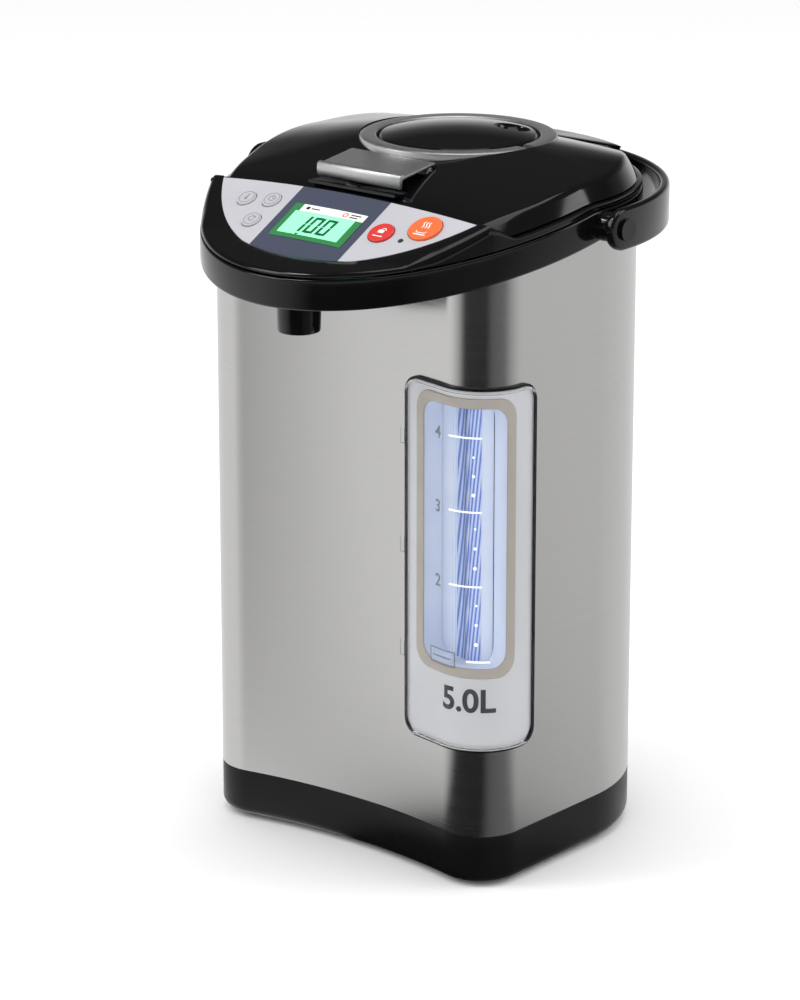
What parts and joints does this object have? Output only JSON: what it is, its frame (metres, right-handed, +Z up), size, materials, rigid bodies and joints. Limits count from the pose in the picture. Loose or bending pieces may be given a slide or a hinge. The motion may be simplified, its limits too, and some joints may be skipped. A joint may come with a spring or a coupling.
{
  "type": "electric thermo pot",
  "caption": "Electric hot water dispenser with steel wrap, lifting lid, bail handle, sloping control panel, spout and side water gauge.",
  "frame": {"origin": "middle of the footprint's bounding box, on the surface the pot stands on", "axes": "+Z up, front towards -Y, the gauge's side towards +X"},
  "size_m": [0.24, 0.243, 0.3606],
  "materials": {
    "black_gloss": "polished black plastic",
    "black_satin": "satin black plastic",
    "steel_wrap": "brushed along its height",
    "steel_pot": "drawn steel",
    "silver": "satin silver plating",
    "panel_grey": "printed film",
    "band_blue": "printed film",
    "display": "lit display",
    "button_red": "satin red plastic",
    "button_orange": "satin orange plastic",
    "button_grey": "satin grey plastic",
    "clear": "clear plastic",
    "gauge_beige": "satin grey beige plastic",
    "gauge_white": "printed scale plate",
    "rubber": "plain",
    "silicone": "translucent silicone",
    "white_plastic": "plain white",
    "plain_metal": "plain",
    "aluminium": "cast",
    "brass": "plain",
    "board_green": "circuit board"
  },
  "bodies": {
    "pot": {"base_cover": "black_satin", "bottom_plate": "black_satin", "rubber_feet": "rubber", "base_screws": "plain_metal", "base_deck": "black_satin", "outer_shell": "steel_wrap", "power_inlet": "black_satin", "inlet_pins": "brass", "collar_ring": "black_gloss", "head_bezel": "black_gloss", "control_panel": "panel_grey", "display_band": "band_blue", "lcd_window": "clear", "lcd_module": "display", "led_lens": "clear", "control_board": "board_green", "key_switches": "board_green", "spout_cover": "black_gloss", "spout_nozzle": "black_satin", "head_hose": "silicone", "gauge_tube": "clear", "riser_hose": "silicone", "pump_housing": "white_plastic", "motor_can": "black_satin", "pot_hose": "silicone", "inner_pot": "steel_pot", "top_deck": "black_satin", "mouth_ring": "black_satin", "heater_plate": "aluminium", "thermostat": "plain_metal", "thermal_fuse": "board_green", "power_board": "board_green", "board_parts": "board_green", "hinge_pin": "plain_metal", "handle_pins": "black_gloss", "gauge_cover": "clear", "gauge_gasket": "black_satin", "gauge_clips": "clear", "gauge_bezel": "gauge_beige", "gauge_plate": "gauge_white"},
    "lid": {"lid_cover": "black_gloss", "lid_inner": "black_satin", "lid_plug": "steel_pot", "lid_seal": "silicone", "lid_trim_ring": "silver", "vent_body": "black_satin", "lever_pin": "plain_metal"},
    "vent_cap": {"vent_cap": "black_gloss"},
    "latch_lever": {"latch_lever": "silver"},
    "handle": {"handle": "black_satin"},
    "motor_rotor": {"motor_rotor": "plain_metal", "pump_impeller": "white_plastic"},
    "button_unlock": {"button_unlock": "button_red"},
    "button_dispense": {"button_dispense": "button_orange"},
    "button_temperature": {"button_temperature": "button_grey"},
    "button_timer": {"button_timer": "button_grey"},
    "button_reboil": {"button_reboil": "button_grey"}
  },
  "joints": [
    {"name": "lid_hinge", "type": "hinge", "parent": "pot", "child": "lid", "pos_m": [0, 0.0905, 0.3415], "axis": [-1, 0, 0], "range_deg": [0, 80]},
    {"name": "vent_cap_turn", "type": "hinge", "parent": "lid", "child": "vent_cap", "pos_m": [0, 0.027, 0.352], "axis": [0, 0, 1], "range_deg": [-48, 0]},
    {"name": "latch_lever_turn", "type": "hinge", "parent": "lid", "child": "latch_lever", "pos_m": [0, -0.0264, 0.3484], "axis": [-1, 0, 0], "range_deg": [0, 8], "stiffness_Nm_per_rad": 0.05, "springref_deg": -5.73},
    {"name": "handle_swing", "type": "hinge", "parent": "pot", "child": "handle", "pos_m": [0, 0.0095, 0.3275], "axis": [1, 0, 0], "range_deg": [0, 95]},
    {"name": "motor_spin", "type": "hinge", "parent": "pot", "child": "motor_rotor", "pos_m": [0.042, -0.014, 0.033], "axis": [0, 0, 1], "continuous": true},
    {"name": "button_unlock_press", "type": "slide", "parent": "pot", "child": "button_unlock", "axis": [0, 0.4721, -0.8816], "range_m": [0, 0.0008], "stiffness_N_per_m": 1500},
    {"name": "button_dispense_press", "type": "slide", "parent": "pot", "child": "button_dispense", "axis": [0, 0.4721, -0.8816], "range_m": [0, 0.0008], "stiffness_N_per_m": 1500},
    {"name": "button_temperature_press", "type": "slide", "parent": "pot", "child": "button_temperature", "axis": [0, 0.4721, -0.8816], "range_m": [0, 0.0008], "stiffness_N_per_m": 1500},
    {"name": "button_timer_press", "type": "slide", "parent": "pot", "child": "button_timer", "axis": [0, 0.4721, -0.8816], "range_m": [0, 0.0008], "stiffness_N_per_m": 1500},
    {"name": "button_reboil_press", "type": "slide", "parent": "pot", "child": "button_reboil", "axis": [0, 0.4721, -0.8816], "range_m": [0, 0.0008], "stiffness_N_per_m": 1500}
  ]
}
